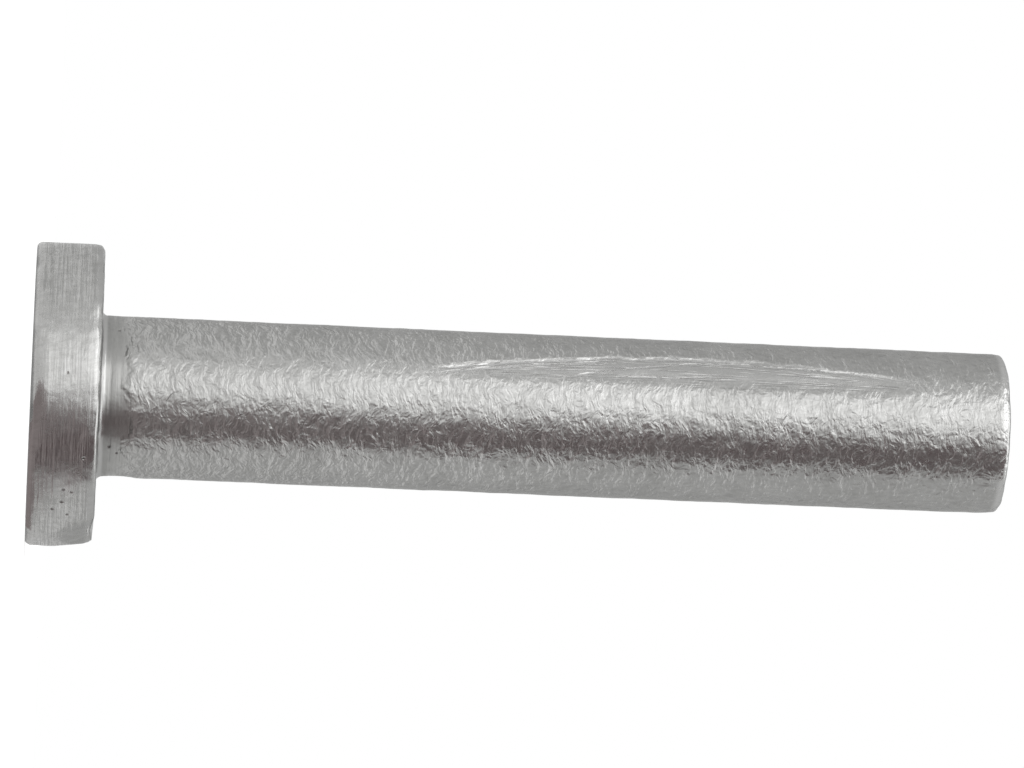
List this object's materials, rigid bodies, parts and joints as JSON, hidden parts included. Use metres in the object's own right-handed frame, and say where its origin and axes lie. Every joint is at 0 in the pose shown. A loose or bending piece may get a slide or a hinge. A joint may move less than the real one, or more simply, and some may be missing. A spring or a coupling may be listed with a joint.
{
  "type": "hollow rivet",
  "caption": "Flat-headed hollow rivet with a plain round shank and a blind bore drilled up from its open end.",
  "frame": {"origin": "centre of the head's outer face, on which the rivet stands", "axes": "+Z along the shank from the head to the open end; the rivet is round about Z, so X and Y are alike"},
  "size_m": [0.0094, 0.0094, 0.0303],
  "materials": {
    "rivet_body": "dull tumbled, with a fine orange-peel grain and light scuffs"
  },
  "bodies": {
    "root": {"rivet_body": "rivet_body"}
  },
  "joints": []
}
